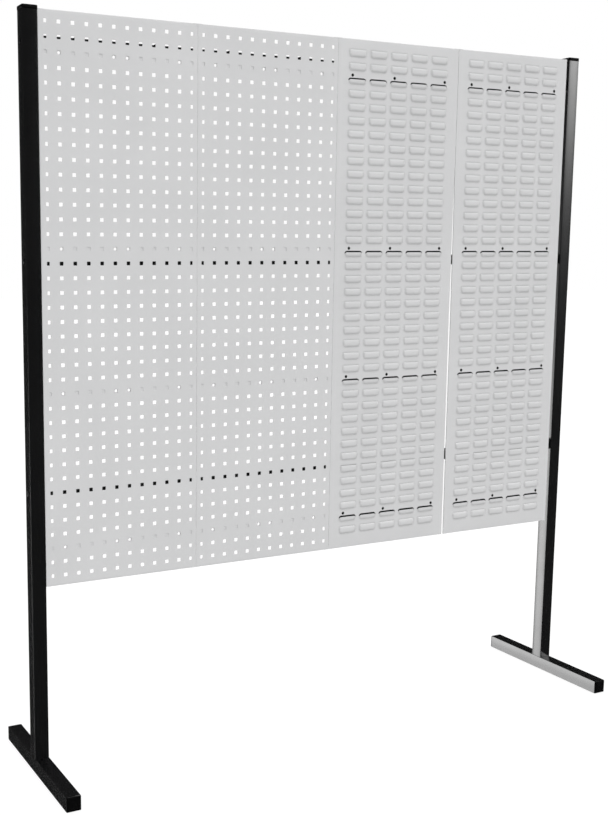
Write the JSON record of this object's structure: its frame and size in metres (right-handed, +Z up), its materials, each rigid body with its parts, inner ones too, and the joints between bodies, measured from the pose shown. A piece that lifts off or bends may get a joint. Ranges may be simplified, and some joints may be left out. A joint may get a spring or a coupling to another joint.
{
  "type": "free-standing panel stand",
  "caption": "Free-standing shop or workshop stand with T-shaped legs, carrying square-hole perforated panels and louvred bin panels that hang on crossbars.",
  "frame": {"origin": "on the floor, at the centre of the stand's footprint", "axes": "+Z up, +X to the right as seen from the front, the panels face -Y; the fronts of panels and uprights lie in the plane Y = 0"},
  "size_m": [1.8636, 0.49, 2.032],
  "materials": {
    "black_paint": "glossy black powder coat",
    "grey_paint": "satin light grey powder coat",
    "black_plastic": "black moulded plastic",
    "black_bolt": "black zinc plate"
  },
  "bodies": {
    "frame": {"upright_left": "black_paint", "upright_right": "black_paint", "foot_left": "black_paint", "foot_right": "black_paint", "crossbar_top": "black_paint", "crossbar_middle": "black_paint", "crossbar_lower": "black_paint", "upright_cap_left": "black_plastic", "upright_cap_right": "black_plastic", "foot_cap_left_front": "black_plastic", "foot_cap_left_rear": "black_plastic", "foot_cap_right_front": "black_plastic", "foot_cap_right_rear": "black_plastic", "crossbar_bolt_top_left": "black_bolt", "crossbar_bolt_top_right": "black_bolt", "crossbar_bolt_middle_left": "black_bolt", "crossbar_bolt_middle_right": "black_bolt", "crossbar_bolt_lower_left": "black_bolt", "crossbar_bolt_lower_right": "black_bolt", "foot_bolt_left_front": "black_bolt", "foot_bolt_left_rear": "black_bolt", "foot_bolt_right_front": "black_bolt", "foot_bolt_right_rear": "black_bolt"},
    "panel_1": {"perforated_panel_1": "grey_paint", "stiffener_1_row_3": "grey_paint", "stiffener_1_row_16": "grey_paint", "stiffener_1_row_26": "grey_paint", "stiffener_1_row_37": "grey_paint", "hook_1_top_left": "black_paint", "hook_1_top_right": "black_paint", "hook_1_lower_left": "black_paint", "hook_1_lower_right": "black_paint"},
    "panel_2": {"perforated_panel_2": "grey_paint", "stiffener_2_row_3": "grey_paint", "stiffener_2_row_16": "grey_paint", "stiffener_2_row_26": "grey_paint", "stiffener_2_row_37": "grey_paint", "hook_2_top_left": "black_paint", "hook_2_top_right": "black_paint", "hook_2_lower_left": "black_paint", "hook_2_lower_right": "black_paint"},
    "panel_3": {"louvred_panel_3": "grey_paint", "stiffener_3_row_3": "black_paint", "stiffener_3_row_16": "black_paint", "stiffener_3_row_26": "black_paint", "stiffener_3_row_37": "black_paint", "hook_3_top_left": "black_paint", "hook_3_top_right": "black_paint", "hook_3_lower_left": "black_paint", "hook_3_lower_right": "black_paint"},
    "panel_4": {"louvred_panel_4": "grey_paint", "stiffener_4_row_3": "black_paint", "stiffener_4_row_16": "black_paint", "stiffener_4_row_26": "black_paint", "stiffener_4_row_37": "black_paint", "hook_4_top_left": "black_paint", "hook_4_top_right": "black_paint", "hook_4_lower_left": "black_paint", "hook_4_lower_right": "black_paint"}
  },
  "joints": [
    {"name": "panel_1_lift", "type": "slide", "parent": "frame", "child": "panel_1", "axis": [0, 0, 1], "range_m": [0, 0.014]},
    {"name": "panel_2_lift", "type": "slide", "parent": "frame", "child": "panel_2", "axis": [0, 0, 1], "range_m": [0, 0.014]},
    {"name": "panel_3_lift", "type": "slide", "parent": "frame", "child": "panel_3", "axis": [0, 0, 1], "range_m": [0, 0.014]},
    {"name": "panel_4_lift", "type": "slide", "parent": "frame", "child": "panel_4", "axis": [0, 0, 1], "range_m": [0, 0.014]}
  ]
}
